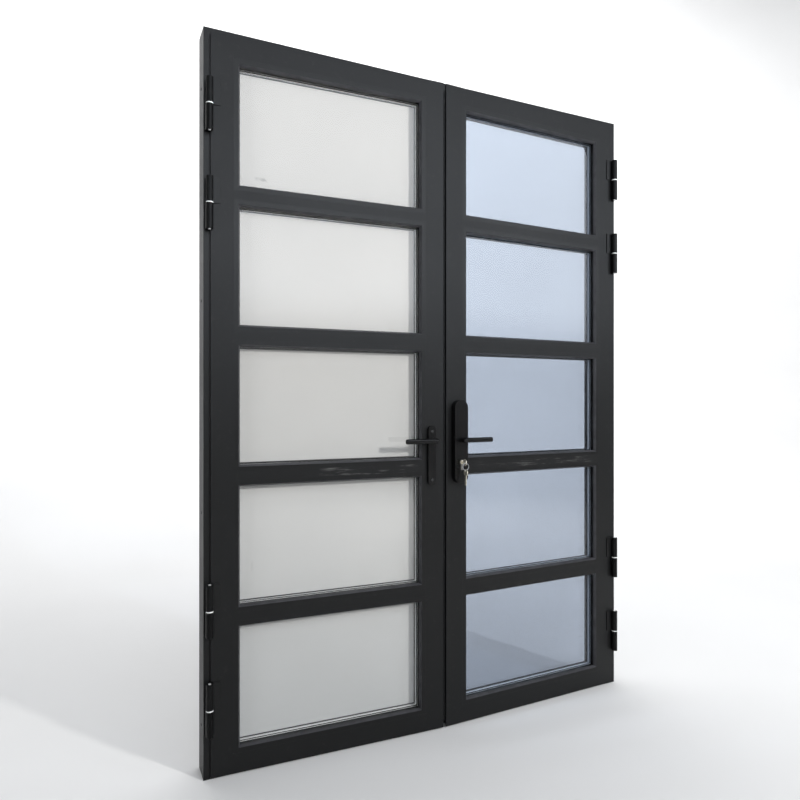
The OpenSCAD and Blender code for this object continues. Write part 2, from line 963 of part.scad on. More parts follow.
// slider with the round pin at a rod's end; z is the pin's end
module rod_end(z) {
    pin_l = 26;
    translate([rod_x, groove_y - rod_w / 2, z - pin_l - slider_h])
        cube([chamber_d - 2 * slide_gap, rod_w, slider_h]);
    translate([rod_pin_x, groove_y, z - pin_l - through])
        cylinder(h = pin_l + through, d = rod_pin_d);
}

module rod_bar(low, high) {
    translate([rod_x, groove_y - rod_w / 2, low]) cube([rod_t, rod_w, high - low]);
}

// rod that goes up from the near side of the pinion; z is measured from the spindle
module near_rod(set, pitch_r, travel, reach) {
    low = -travel - rack_spare;
    difference() {
        union() {
            rod_bar(low, reach - 2 * rod_recess - slider_h);
            rod_end(reach - rod_recess);
            translate([set - pitch_r, 0, 0])
                upright(groove_y - rack_t / 2, rack_t)
                    rack_2d(low, 2 * rack_spare, set - pitch_r - rod_x - rod_t / 2);
        }
    }
}

// rod that goes up from the far side of the pinion, linked across above it
module far_rod(set, pitch_r, travel, reach) {
    low = -travel - rack_spare;
    link = travel + rack_spare + 2;
    union() {
        rod_bar(link, reach - 2 * rod_recess - slider_h);
        rod_end(reach - rod_recess);
        translate([rod_x, groove_y - rack_t / 2, link])
            cube([far_rack_out - rod_x, rack_t, link_h]);
        translate([set + pitch_r, 0, 0])
            mirror([1, 0, 0])
                upright(groove_y - rack_t / 2, rack_t)
                    rack_2d(low, link + through, far_rack_out - set - pitch_r);
    }
}

// distances from the spindle to the ends of the rods' grooves
reach_up = leaf_h - flange_w - lever_up;
reach_down = lever_up - flange_w;

// slot that lets the bolt through a rod that passes it
module bolt_window(travel) {
    translate([
        rod_x - through, groove_y - window_w / 2,
        bolt_up - lever_up - strike_hole_h / 2
    ]) cube([rod_t + 2 * through, window_w, strike_hole_h + travel]);
}

module left_top_rod() {
    color(bright) left_side() hung() from_meeting() translate([0, 0, lever_up])
        near_rod(left_set, left_pitch_r, left_travel, reach_up);
}

module left_bottom_rod() {
    color(bright) left_side() hung() from_meeting() translate([0, 0, lever_up])
        difference() {
            mirror([0, 0, 1])
                far_rod(left_set, left_pitch_r, left_travel, reach_down);
            bolt_window(left_travel);
        }
}

module right_top_rod() {
    color(bright) right_side() hung() from_meeting() translate([0, 0, lever_up])
        far_rod(right_set, right_pitch_r, right_travel, reach_up);
}

module right_bottom_rod() {
    color(bright) right_side() hung() from_meeting() translate([0, 0, lever_up])
        difference() {
            mirror([0, 0, 1])
                near_rod(right_set, right_pitch_r, right_travel, reach_down);
            bolt_window(right_travel);
        }
}

// ---- cases and lock ----

// shell behind the groove, open towards it, with bearings for the pinion's hub
module case_shell(set, low, high) {
    difference() {
        translate([case_in, groove_y - case_t / 2, low])
            cube([case_out - case_in, case_t, high - low]);
        translate([
            case_in - through, groove_y - case_t / 2 + case_wall, low + case_wall
        ]) cube([
            case_out - case_in + through - case_wall, case_t - 2 * case_wall,
            high - low - 2 * case_wall
        ]);
        translate([set, 0, 0])
            along_y(
                groove_y - case_t / 2 - through, case_t + 2 * through,
                hub_d / 2 + turn_gap
            );
    }
}

case_spare = 4;
left_case_low = -2 * left_travel - rack_spare - 2 - link_h - case_spare;
left_case_high = left_travel + rack_spare + case_spare + case_wall;
right_case_low = -cylinder_drop - bolt_drop - bolt_h / 2 - case_spare;
right_case_high = 2 * right_travel + rack_spare + 2 + link_h + case_spare;

module left_gear_case() {
    color(steel) left_side() hung() from_meeting() translate([0, 0, lever_up])
        case_shell(left_set, left_case_low, left_case_high);
}

// plate on a meeting edge, z from the leaf's lower edge, with a hole for the bolt
module edge_plate(low, high, hole_w, hole_h) {
    difference() {
        translate([-edge_plate_t, groove_y - edge_plate_w / 2, low])
            cube([edge_plate_t, edge_plate_w, high - low]);
        translate([-edge_plate_t - through, groove_y - hole_w / 2, bolt_up - hole_h / 2])
            cube([edge_plate_t + 2 * through, hole_w, hole_h]);
    }
}

// case with its guides for the bolt, and the lock's plate on the leaf's edge
module right_lock_case() {
    guide_in = bolt_t / 2 + slide_gap;
    guide_t = case_t / 2 - guide_in;
    color(steel) right_side() hung() from_meeting() {
        translate([0, 0, lever_up]) difference() {
            case_shell(right_set, right_case_low, right_case_high);
            upright(groove_y - case_t / 2 - through, case_t + 2 * through)
                translate([right_set, -cylinder_drop]) cylinder_outline(cylinder_gap);
        }
        for (y = [groove_y - case_t / 2, groove_y + guide_in])
            translate([case_in, y, bolt_up - bolt_h / 2])
                cube([guide_l, guide_t, bolt_h]);
        edge_plate(
            lever_up + right_case_low - edge_plate_spare,
            lever_up + right_case_high + edge_plate_spare,
            bolt_t + 2 * slide_gap, bolt_h + 2 * slide_gap
        );
    }
}

// room through the groove's back wall for racks, links and bolt
module case_cut(low, high) {
    cut_w = rack_t + 8;
    translate([groove_d - through, groove_y - cut_w / 2, lever_up + low])
        cube([wall + 2 * through, cut_w, high - low]);
}

module left_meeting_stile() {
    color(coat) left_side() hung() difference() {
        meeting_blank();
        from_meeting() {
            case_cut(left_case_low, left_case_high);
            translate([-through, groove_y - strike_hole_w / 2, bolt_up - strike_hole_h / 2])
                cube([groove_d + wall + 2 * through, strike_hole_w, strike_hole_h]);
        }
        at_spindle(left_set) {
            along_y(leaf_front - through, wall + 2 * through, neck_d / 2);
            screw_spots(left_screw_pitch, left_plate_drop)
                along_y(leaf_front - through, wall + 2 * through, screw_d / 2 + turn_gap);
        }
    }
}

module right_meeting_stile() {
    color(coat) right_side() hung() difference() {
        meeting_blank();
        from_meeting() case_cut(right_case_low, right_case_high);
        at_spindle(right_set)
            for (y = [leaf_front - through, leaf_back - wall - through]) {
                along_y(y, wall + 2 * through, neck_d / 2);
                screw_spots(right_screw_pitch, right_plate_drop)
                    along_y(y, wall + 2 * through, screw_d / 2 + turn_gap);
                upright(y, wall + 2 * through)
                    translate([0, -cylinder_drop]) cylinder_outline(cylinder_gap);
            }
    }
}

module left_strike() {
    color(steel) left_side() hung() from_meeting()
        edge_plate(
            bolt_up - strike_h / 2, bolt_up + strike_h / 2,
            strike_hole_w, strike_hole_h
        );
}

module deadbolt() {
    color(bright) right_side() hung() from_meeting()
        translate([bolt_tip, groove_y - bolt_t / 2, bolt_up - bolt_h / 2])
            cube([bolt_l, bolt_t, bolt_h]);
}

module at_cylinder() {
    right_side() hung() from_meeting() translate([right_set, 0, cylinder_up]) children();
}

module right_cylinder() {
    length = leaf_back + rear_plate_t + cylinder_proud - plug_front_y;
    color(steel) at_cylinder() difference() {
        upright(plug_front_y, length) cylinder_outline(0);
        along_y(plug_front_y - through, plug_l + through + slide_gap, plug_d / 2 + turn_gap);
    }
}

module key_plug() {
    color(bright) at_cylinder() difference() {
        along_y(plug_front_y, plug_l, plug_d / 2);
        translate([-slot_w / 2, plug_front_y - through, -slot_h / 2])
            cube([slot_w, key_blade_l + 2 * through, slot_h]);
    }
}

// flat key in the y-z plane with its blade towards +y, bow centred at y = 0
module key_blank() {
    rotate([0, 0, 90]) rotate([90, 0, 0]) linear_extrude(key_t, center = true)
        difference() {
            union() {
                circle(r = bow_r, $fn = 64);
                translate([bow_r - 2, -key_blade_h / 2])
                    square([key_blade_l + key_neck_l, key_blade_h]);
            }
            translate([-bow_hole_out, 0]) circle(r = bow_hole_r);
        }
}

module key() {
    color(bright) at_cylinder() translate([0, key_bow_y, 0]) key_blank();
}

module key_ring() {
    color(steel) at_cylinder()
        translate([0, ring_y, ring_top - ring_r]) rotate([90, 0, 0])
            rotate_extrude() translate([ring_r, 0]) circle(d = wire_d, $fn = 24);
}

module spare_key() {
    color(bright) at_cylinder()
        translate([0, ring_y, spare_hole - bow_hole_out]) rotate([-90, 0, 0]) key_blank();
}

// ---- leaves ----

module left_leaf() { left_side() hung() children(); }

module right_leaf() { right_side() hung() children(); }

frosted = [0.86, 0.87, 0.87, 0.8];
clear = [0.75, 0.82, 0.86, 0.35];

module left_hinge_stile() { left_leaf() hinge_stile(); }
module left_top_rail() { left_leaf() top_rail(); }
module left_bottom_rail() { left_leaf() bottom_rail(); }
module left_transoms() { left_leaf() transoms(); }
module left_beads() { left_leaf() beads(); }
module left_seals() { left_leaf() seals(); }
module left_front_panes() { left_leaf() front_panes(frosted); }
module left_back_panes() { left_leaf() back_panes(clear); }
module left_spacers() { left_leaf() spacers(); }
module left_cleats() { left_leaf() leaf_cleats(); }
module left_hinge_wings() { left_leaf() leaf_hinge_wings(); }

module right_hinge_stile() { right_leaf() hinge_stile(); }
module right_top_rail() { right_leaf() top_rail(); }
module right_bottom_rail() { right_leaf() bottom_rail(); }
module right_transoms() { right_leaf() transoms(); }
module right_beads() { right_leaf() beads(); }
module right_seals() { right_leaf() seals(); }
module right_front_panes() { right_leaf() front_panes(clear); }
module right_back_panes() { right_leaf() back_panes(clear); }
module right_spacers() { right_leaf() spacers(); }
module right_cleats() { right_leaf() leaf_cleats(); }
module right_hinge_wings() { right_leaf() leaf_hinge_wings(); }

frame_head();
frame_sill();
frame_jamb_left();
frame_jamb_right();
frame_seal();
frame_cleats();
frame_hinges();
hinge_pins();
hinge_washers();
rod_keeps();
left_hinge_stile();
left_meeting_stile();
left_top_rail();
left_bottom_rail();
left_transoms();
left_beads();
left_seals();
left_front_panes();
left_back_panes();
left_spacers();
left_cleats();
left_hinge_wings();
left_plate();
left_plate_screws();
left_gear_case();
left_strike();
left_lever();
left_spindle();
left_pinion();
left_top_rod();
left_bottom_rod();
right_hinge_stile();
right_meeting_stile();
right_top_rail();
right_bottom_rail();
right_transoms();
right_beads();
right_seals();
right_front_panes();
right_back_panes();
right_spacers();
right_cleats();
right_hinge_wings();
right_plate();
right_rear_plate();
right_plate_screws();
right_lock_case();
right_cylinder();
right_lever();
right_rear_lever();
right_spindle();
right_pinion();
right_top_rod();
right_bottom_rod();
deadbolt();
key_plug();
key();
key_ring();
spare_key();
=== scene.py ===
"""Looks of the french doors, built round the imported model."""

import json
import math

import bmesh
import bpy
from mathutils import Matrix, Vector

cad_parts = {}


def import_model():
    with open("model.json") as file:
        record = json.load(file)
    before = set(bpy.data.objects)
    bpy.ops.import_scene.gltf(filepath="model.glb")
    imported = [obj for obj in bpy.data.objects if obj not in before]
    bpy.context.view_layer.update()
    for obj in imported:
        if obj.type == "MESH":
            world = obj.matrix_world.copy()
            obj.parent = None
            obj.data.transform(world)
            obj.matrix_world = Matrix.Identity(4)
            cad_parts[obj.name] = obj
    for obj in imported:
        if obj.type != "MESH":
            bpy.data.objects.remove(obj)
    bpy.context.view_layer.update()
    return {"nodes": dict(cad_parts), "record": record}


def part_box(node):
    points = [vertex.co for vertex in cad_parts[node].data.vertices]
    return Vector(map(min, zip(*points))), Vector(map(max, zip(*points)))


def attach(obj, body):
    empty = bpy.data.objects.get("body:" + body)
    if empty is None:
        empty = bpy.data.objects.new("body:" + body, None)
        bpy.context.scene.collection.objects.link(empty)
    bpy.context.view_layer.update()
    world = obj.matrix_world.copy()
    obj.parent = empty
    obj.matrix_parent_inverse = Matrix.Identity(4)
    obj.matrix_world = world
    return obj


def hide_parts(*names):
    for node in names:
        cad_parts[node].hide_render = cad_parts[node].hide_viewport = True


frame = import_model()
NODES = frame["nodes"]
SCENE = bpy.context.scene
MM = 0.001
UP = Vector((0, 0, 1))
WELD = 0.002 * MM  # points nearer than this are one

JOINTS = {j["name"]: j for j in frame["record"]["behaviour"]["joints"]}
AJAR = math.radians(-JOINTS["left_leaf_swing"]["range_deg"][0])  # how far the leaves stand open
HINGE_X = abs(JOINTS["left_leaf_swing"]["pos_m"][0])  # from the frame's middle to a hinge's axis
BARREL_R = 10.5 * MM  # just over a hinge barrel's radius
LEVER_LOW, LEVER_HIGH = (Vector(v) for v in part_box("left_lever"))
LEVER_MID = (LEVER_LOW + LEVER_HIGH) / 2
GLASS_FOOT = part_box("left_back_panes")[0][2]  # height of the lowest etched pane's lower edge


# ---- node helpers ----


def new_material(name):
    """A new material, its node tree and its Principled shader."""
    m = bpy.data.materials.new(name)
    m.use_nodes = True
    nt = m.node_tree
    bsdf = nt.nodes["Principled BSDF"]
    return m, nt, bsdf


def link(nt, a, b):
    """Joins the output a to the input b."""
    nt.links.new(a, b)


def noise(nt, scale, detail=3.0, rough=0.5, stretch=None):
    """Cloudy values from 0 to 1 over the piece, finer along an axis with more stretch."""
    coord = nt.nodes.new("ShaderNodeTexCoord").outputs["Object"]
    if stretch:
        mapping = nt.nodes.new("ShaderNodeMapping")
        mapping.inputs["Scale"].default_value = stretch
        link(nt, coord, mapping.inputs["Vector"])
        coord = mapping.outputs["Vector"]
    n = nt.nodes.new("ShaderNodeTexNoise")
    for key, v in (("Scale", scale), ("Detail", detail), ("Roughness", rough)):
        n.inputs[key].default_value = v
    link(nt, coord, n.inputs["Vector"])
    return n.outputs["Fac"]


def ramp(nt, fac, low, high):
    """Blends two colours; low and high are each a place from 0 to 1 and its colour."""
    r = nt.nodes.new("ShaderNodeValToRGB")
    for e, (place, color) in zip(r.color_ramp.elements, (low, high)):
        e.position = place
        e.color = (*color, 1)
    link(nt, fac, r.inputs["Fac"])
    return r.outputs["Color"]


def remap(nt, fac, lo, hi, to_lo, to_hi, curve="LINEAR"):
    """Carries lo..hi over to to_lo..to_hi, and holds it there beyond the ends."""
    n = nt.nodes.new("ShaderNodeMapRange")
    n.interpolation_type = curve
    for key, v in zip(("From Min", "From Max", "To Min", "To Max"), (lo, hi, to_lo, to_hi)):
        n.inputs[key].default_value = v
    link(nt, fac, n.inputs["Value"])
    return n.outputs["Result"]


def mix_rgb(nt, fac, a, b, blend="MIX"):
    """Colour a turning into b with fac; each is a value or a socket."""
    n = nt.nodes.new("ShaderNodeMix")
    n.data_type = "RGBA"
    n.blend_type = blend
    for sock, v in zip((n.inputs[0], n.inputs[6], n.inputs[7]), (fac, a, b)):
        if isinstance(v, (int, float)):
            sock.default_value = v
        elif isinstance(v, tuple):
            sock.default_value = (*v, 1)
        else:
            link(nt, v, sock)
    return n.outputs[2]


def bump(nt, bsdf, height, strength, distance, rounded=0.0):
    """Raises the surface by height, and shades its edges as rounded by that radius."""
    n = nt.nodes.new("ShaderNodeBump")
    n.inputs["Strength"].default_value = strength
    n.inputs["Distance"].default_value = distance
    link(nt, height, n.inputs["Height"])
    if rounded:
        b = nt.nodes.new("ShaderNodeBevel")
        b.samples = 4
        b.inputs["Radius"].default_value = rounded
        link(nt, b.outputs["Normal"], n.inputs["Normal"])
    link(nt, n.outputs["Normal"], bsdf.inputs["Normal"])


def axis_value(nt, axis, space="Object"):
    """One coordinate, 0 to 2, of the point in space, or of its normal with "Normal"."""
    coords = nt.nodes.new("ShaderNodeTexCoord")
    sep = nt.nodes.new("ShaderNodeSeparateXYZ")
    link(nt, coords.outputs[space], sep.inputs["Vector"])
    return sep.outputs[axis]


def math_node(nt, op, *values):
    """The result of a sum; each value is a number or a socket."""
    n = nt.nodes.new("ShaderNodeMath")
    n.operation = op
    for sock, v in zip(n.inputs, values):
        if isinstance(v, (int, float)):
            sock.default_value = v
        else:
            link(nt, v, sock)
    return n.outputs[0]


def times(nt, a, b):
    """The product of two values."""
    return math_node(nt, "MULTIPLY", a, b)


def band(nt, value, lo, hi, soft):
    """1 where lo < value < hi, fading over soft on both sides of each end."""
    up = remap(nt, value, lo - soft, lo + soft, 0, 1)
    down = remap(nt, value, hi - soft, hi + soft, 1, 0)
    return times(nt, up, down)


# ---- materials ----


DUST = (0.16, 0.155, 0.145)
SCUFF = (0.26, 0.26, 0.25)


def coat_material(name, base, roughness, specular=0.26, scuffs=(), painted_slope_highlight=None, barrels=None):
    """Anthracite powder coat: fine orange peel, slow cloudy variation and a little dust.

    scuffs are streaked patches, each its range in X, its range in Z and the streaks' scale;
    painted_slope_highlight is the colour of a painted highlight on slopes, and barrels how much
    the hinges' barrels mirror.
    """
    m, nt, b = new_material(name)
    cloud = noise(nt, 2.2, 4, 0.55)
    dark = tuple(c * 0.86 for c in base)
    light = tuple(c * 1.16 for c in base)
    color = ramp(nt, cloud, (0.3, dark), (0.72, light))
    dusty = remap(nt, noise(nt, 60, 5, 0.65), 0.58, 0.8, 0, 0.05)
    color = mix_rgb(nt, dusty, color, DUST)
    for (x_low, x_high), (z_low, z_high), streak in scuffs:
        across = band(nt, axis_value(nt, 0), x_low, x_high, 0.02)
        along = band(nt, axis_value(nt, 2), z_low, z_high, 0.003)
        marks = remap(nt, noise(nt, streak, 7, 0.72, (0.12, 1, 1.9)), 0.54, 0.70, 0, 0.42)
        color = mix_rgb(nt, times(nt, times(nt, across, along), marks), color, SCUFF)
    if painted_slope_highlight:  # painted highlight: faces that slope towards the glass are drawn lighter, standing in for the light they mirror
        outward = math_node(nt, "ABSOLUTE", axis_value(nt, 1, "Normal"))
        slope = band(nt, outward, 0.25, 0.985, 0.01)
        slope_highlight_mask = times(nt, slope, remap(nt, noise(nt, 30, 4, 0.6), 0.3, 0.6, 0.6, 1))
        color = mix_rgb(nt, slope_highlight_mask, color, painted_slope_highlight)
    link(nt, color, b.inputs["Base Color"])
    rough = remap(nt, cloud, 0.3, 0.7, roughness - 0.04, roughness + 0.05)
    link(nt, rough, b.inputs["Roughness"])
    b.inputs["Specular IOR Level"].default_value = specular
    if barrels:  # the hinges' barrels mirror less than the wings beside them
        from_middle = math_node(nt, "ABSOLUTE", axis_value(nt, 0))
        at_barrel = band(nt, from_middle, HINGE_X - BARREL_R, HINGE_X + BARREL_R, 0.0005)
        mirrored = remap(nt, at_barrel, 0, 1, specular, barrels)
        link(nt, mirrored, b.inputs["Specular IOR Level"])
    bump(nt, b, noise(nt, 900, 2, 0.5), 0.22, 0.0002, rounded=0.0007)
    return m


def rubber_material():
    """Dull black rubber."""
    m, nt, b = new_material("rubber")
    color = ramp(nt, noise(nt, 80), (0.3, (0.008, 0.008, 0.009)), (0.7, (0.018, 0.018, 0.019)))
    link(nt, color, b.inputs["Base Color"])
    b.inputs["Roughness"].default_value = 0.62
    bump(nt, b, noise(nt, 500, 2), 0.2, 0.0002)
    return m


def metal_material(name, base, roughness, brushed=(1, 1, 30), metallic=1.0):
    """Metal with a grain that runs across the axis with the largest brushed value."""
    m, nt, b = new_material(name)
    grain = noise(nt, 120, 4, 0.6, brushed)
    dark = tuple(c * 0.86 for c in base)
    link(nt, ramp(nt, grain, (0.3, dark), (0.7, base)), b.inputs["Base Color"])
    rough = remap(nt, grain, 0.3, 0.7, roughness - 0.06, roughness + 0.08)
    link(nt, rough, b.inputs["Roughness"])
    b.inputs["Metallic"].default_value = metallic
    bump(nt, b, grain, 0.12, 0.0001, rounded=0.0004)
    return m


def spacer_material():
    """Bright mill-finish bar between the sheets of glass."""
    m, nt, b = new_material("spacer_bar")
    grain = noise(nt, 90)
    color = ramp(nt, grain, (0.3, (0.88, 0.90, 0.91)), (0.7, (0.96, 0.97, 0.97)))
    link(nt, color, b.inputs["Base Color"])
    b.inputs["Roughness"].default_value = 0.34
    b.inputs["Metallic"].default_value = 0.1
    bump(nt, b, grain, 0.08, 0.0001)
    return m


def nylon_material():
    """White nylon of the hinges' washers."""
    m, nt, b = new_material("nylon")
    color = ramp(nt, noise(nt, 150, 2), (0.3, (0.74, 0.74, 0.72)), (0.7, (0.86, 0.86, 0.84)))
    link(nt, color, b.inputs["Base Color"])
    b.inputs["Roughness"].default_value = 0.4
    b.inputs["Subsurface Weight"].default_value = 0.05
    bump(nt, b, noise(nt, 400, 2), 0.1, 0.0001)
    return m


# small marks on the etched sheet: distance from the frame's middle, height above GLASS_FOOT,
# the mark's width and height, and its strength
SMUDGES = (
    (-0.581, 1.640, 0.034, 0.009, 0.75),
    (-0.384, 1.692, 0.008, 0.010, 0.6),
    (-0.607, 0.509, 0.003, 0.030, 0.3),
    (-0.621, 0.528, 0.003, 0.018, 0.25),
)
SMUDGE = (0.24, 0.24, 0.23)
WIPED = (0.50, 0.50, 0.49)
FOOT_SHADE = (0.80, 0.83, 0.86)  # painted shade: the etched sheet is drawn a little darker and bluer low down


def frosted_material():
    """Etched white glass: even, slightly cloudy, with faint wipe marks."""
    m, nt, b = new_material("frosted_glass")
    cloud = noise(nt, 1.6, 3, 0.5)
    color = ramp(nt, cloud, (0.25, (0.615, 0.61, 0.60)), (0.75, (0.665, 0.655, 0.64)))
    # painted shade by height, strongest at the floor and gone by 1.5 m up
    high = remap(nt, axis_value(nt, 2), 0.1, 1.5, 0, 1)
    color = mix_rgb(nt, high, mix_rgb(nt, 1.0, color, FOOT_SHADE, "MULTIPLY"), color)
    wipe = remap(nt, noise(nt, 9, 6, 0.7, (1, 1, 0.35)), 0.60, 0.78, 0, 0.08)
    color = mix_rgb(nt, wipe, color, WIPED)
    edge = noise(nt, 55, 4, 0.6)
    for across, above, wide, tall, amount in SMUDGES:
        height = GLASS_FOOT + above
        mark = times(
            nt, band(nt, axis_value(nt, 0), across - wide / 2, across + wide / 2, 0.004),
            band(nt, axis_value(nt, 2), height - tall / 2, height + tall / 2, 0.003),
        )
        mark = times(nt, mark, remap(nt, edge, 0.42, 0.58, 0.2, 1))
        color = mix_rgb(nt, times(nt, mark, amount), color, SMUDGE)
    link(nt, color, b.inputs["Base Color"])
    rough = remap(nt, noise(nt, 14, 5, 0.6), 0.35, 0.7, 0.45, 0.6)
    link(nt, rough, b.inputs["Roughness"])
    b.inputs["Specular IOR Level"].default_value = 0.3
    bump(nt, b, cloud, 0.02, 0.0005)
    return m


def clear_material(name, tint, lamp_tint):
    """Clear pane: mirrors and bends light, and lets lamps through in their own tint."""
    m, nt, b = new_material(name)
    cloud = noise(nt, 2.5, 3, 0.5)
    dark = tuple(c * 0.97 for c in tint)
    link(nt, ramp(nt, cloud, (0.3, dark), (0.7, tint)), b.inputs["Base Color"])
    b.inputs["Transmission Weight"].default_value = 1.0
    b.inputs["IOR"].default_value = 1.5
    b.inputs["Roughness"].default_value = 0.0
    clear = nt.nodes.new("ShaderNodeBsdfTransparent")
    clear.inputs["Color"].default_value = (*lamp_tint, 1)
    path = nt.nodes.new("ShaderNodeLightPath")
    mix = nt.nodes.new("ShaderNodeMixShader")
    link(nt, path.outputs["Is Shadow Ray"], mix.inputs["Fac"])
    link(nt, b.outputs["BSDF"], mix.inputs[1])
    link(nt, clear.outputs["BSDF"], mix.inputs[2])
    link(nt, mix.outputs["Shader"], nt.nodes["Material Output"].inputs["Surface"])
    return m


ANTHRACITE = (0.0048, 0.0050, 0.0052)
SCUFFED = (LEVER_MID.z - 0.109, LEVER_MID.z - 0.063)  # heights of the transom below the levers
COAT = coat_material("powder_coat", ANTHRACITE, 0.44)
COAT_TRANSOM = coat_material(
    "powder_coat_scuffed", ANTHRACITE, 0.44,
    scuffs=[((-0.40, -0.09), SCUFFED, 60), ((0.14, 0.62), SCUFFED, 70)],
)
# the beads' slopes carry a painted highlight, drawn lighter where they would mirror light
COAT_BEAD = coat_material("bead_coat", ANTHRACITE, 0.38, painted_slope_highlight=(0.055, 0.055, 0.06))
COAT_HANDLE = coat_material("handle_coat", (0.0022, 0.0022, 0.0024), 0.24, specular=0.28)
COAT_HINGE = coat_material("hinge_coat", (0.0026, 0.0026, 0.0028), 0.34, specular=0.12)
COAT_WING = coat_material("hinge_wing_coat", ANTHRACITE, 0.42, barrels=0.12)
RUBBER = rubber_material()
STEEL = metal_material("zinc_steel", (0.52, 0.53, 0.55), 0.32)
PIN_STEEL = metal_material("pin_steel", (0.88, 0.88, 0.88), 0.3, metallic=0.6)
BLACK_STEEL = metal_material("blackened_steel", (0.09, 0.09, 0.092), 0.22, metallic=0.9)
NICKEL = metal_material("nickel", (0.86, 0.81, 0.68), 0.2, metallic=0.7)
CYLINDER = metal_material("cylinder_nickel", (0.24, 0.235, 0.22), 0.34)
BRIGHT = metal_material("mill_aluminium", (0.74, 0.75, 0.76), 0.4, (1, 1, 0.1))
SPACER = spacer_material()
NYLON = nylon_material()
FROSTED = frosted_material()
CLEAR = clear_material("clear_glass", (0.98, 0.975, 0.965), (0.93, 0.928, 0.92))
# painted shade: the right leaf's panes are the same clear glass, tinted darker and grey-blue to
# stand in for the dim room seen through them
SHADED_CLEAR = clear_material("clear_glass_painted_shade", (0.60, 0.64, 0.70), (0.80, 0.825, 0.86))

FINISH = [
    (FROSTED, "left_back_panes"),
    (CLEAR, "left_front_panes"),
    (SHADED_CLEAR, "right_front_panes right_back_panes"),
    (SPACER, "left_spacers right_spacers"),
    (RUBBER, "frame_seal left_seals right_seals"),
    (NYLON, "hinge_washers"),
    (PIN_STEEL, "hinge_pins"),
    (STEEL, "rod_keeps left_strike key_ring left_gear_case right_lock_case"),
    (STEEL, "left_spindle right_spindle left_pinion right_pinion"),
    (BLACK_STEEL, "left_plate_screws right_plate_screws"),
    (BRIGHT, "left_top_rod left_bottom_rod right_top_rod right_bottom_rod"),
    (BRIGHT, "frame_cleats left_cleats right_cleats"),
    (NICKEL, "key_plug key spare_key deadbolt"),
    (CYLINDER, "right_cylinder"),
    (COAT_HANDLE, "left_lever right_lever right_rear_lever"),
    (COAT_HANDLE, "left_plate right_plate right_rear_plate"),
    (COAT_HINGE, "frame_hinges"),
    (COAT_WING, "left_hinge_wings right_hinge_wings"),
    (COAT_TRANSOM, "left_transoms right_transoms"),
    (COAT_BEAD, "left_beads right_beads"),
]
FINISH_OF = {name: m for m, names in FINISH for name in names.split()}
BODIES = frame["record"]["behaviour"]["bodies"]
BODY_OF = {name: body for body, names in BODIES.items() for name in names}

for name, obj in NODES.items():
    obj.data.materials.clear()
    obj.data.materials.append(FINISH_OF.get(name, COAT))


# ---- pieces that stand for a plainer CAD node ----


def mesh_from(bm, name, sharp=None):
    """The shape as a mesh; with sharp, smooth but for edges over that many degrees."""
    for f in bm.faces:
        f.smooth = sharp is not None
    mesh = bpy.data.meshes.new(name)
    bm.to_mesh(mesh)
    bm.free()
    if sharp is not None:
        mesh.set_sharp_from_angle(angle=math.radians(sharp))
    return mesh


def skin(bm, a, b):
    """A band of faces between two closed rows of as many points."""
    for i in range(len(a)):
        j = (i + 1) % len(a)
        bm.faces.new((a[i], a[j], b[j], b[i]))


def stand_for(node_name, mesh, piece_name):
    """Puts the mesh in the scene in the node's place, on its body and with its finish."""
    o = bpy.data.objects.new(piece_name, mesh)
    SCENE.collection.objects.link(o)
    mesh.materials.clear()
    mesh.materials.append(FINISH_OF.get(node_name, COAT))
    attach(o, BODY_OF[node_name])
    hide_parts(node_name)
    return o


FLAT = math.radians(0.6)  # faces that meet at less than this are one
EDGE = math.radians(35)  # edges over this are rolled over


def welded(mesh):
    """A working copy of the mesh, its faces joined at their corners."""
    bm = bmesh.new()
    bm.from_mesh(mesh)
    bmesh.ops.remove_doubles(bm, verts=bm.verts, dist=WELD)
    return bm


def rounded(node_name, width):
    """The node with its edges rolled over; the faces stay where they are."""
    bm = welded(NODES[node_name].data)
    bmesh.ops.dissolve_limit(
        bm, angle_limit=FLAT, verts=bm.verts, edges=bm.edges, delimit=set()
    )
    edges = [e for e in bm.edges if len(e.link_faces) == 2 and e.calc_face_angle(0) > EDGE]
    bmesh.ops.bevel(
        bm, geom=edges, offset=width, offset_type="OFFSET", segments=3, profile=0.5,
        affect="EDGES", clamp_overlap=True, loop_slide=True,
    )
    name = node_name + "_rounded"
    o = stand_for(node_name, mesh_from(bm, name, sharp=38), name)
    o.modifiers.new("even_faces", "WEIGHTED_NORMAL").keep_sharp = True


def loose_parts(mesh):
    """The mesh's separate solids, each as a list of points."""
    bm = welded(mesh)
    seen, parts = set(), []
    for start in bm.verts:
        if start in seen:
            continue
        seen.add(start)
        stack, points = [start], []
        while stack:
            v = stack.pop()
            points.append(v.co.copy())
            for e in v.link_edges:
                other = e.other_vert(v)
                if other not in seen:
                    seen.add(other)
                    stack.append(other)
        parts.append(points)
    bm.free()
    return parts


SCREW_SIDES = 36
SIXTH = math.tau / 6


def leaf_axes(body):
    """Unit vectors straight out of a leaf's face and along it."""
    axis = Vector(LEAF_OUT[body])
    return axis, axis.cross(UP).normalized()


def screw_row(bm, centre, axis, side, radius, height, hexagon):
    """Points round the screw's axis, on a circle or on a hexagon of that inner radius."""
    row = []
    for i in range(SCREW_SIDES):
        a = math.tau * i / SCREW_SIDES
        r = radius / math.cos((a + SIXTH / 2) % SIXTH - SIXTH / 2) if hexagon else radius
        point = centre + axis * height + side * (r * math.cos(a)) + UP * (r * math.sin(a))
        row.append(bm.verts.new(point))
    return row


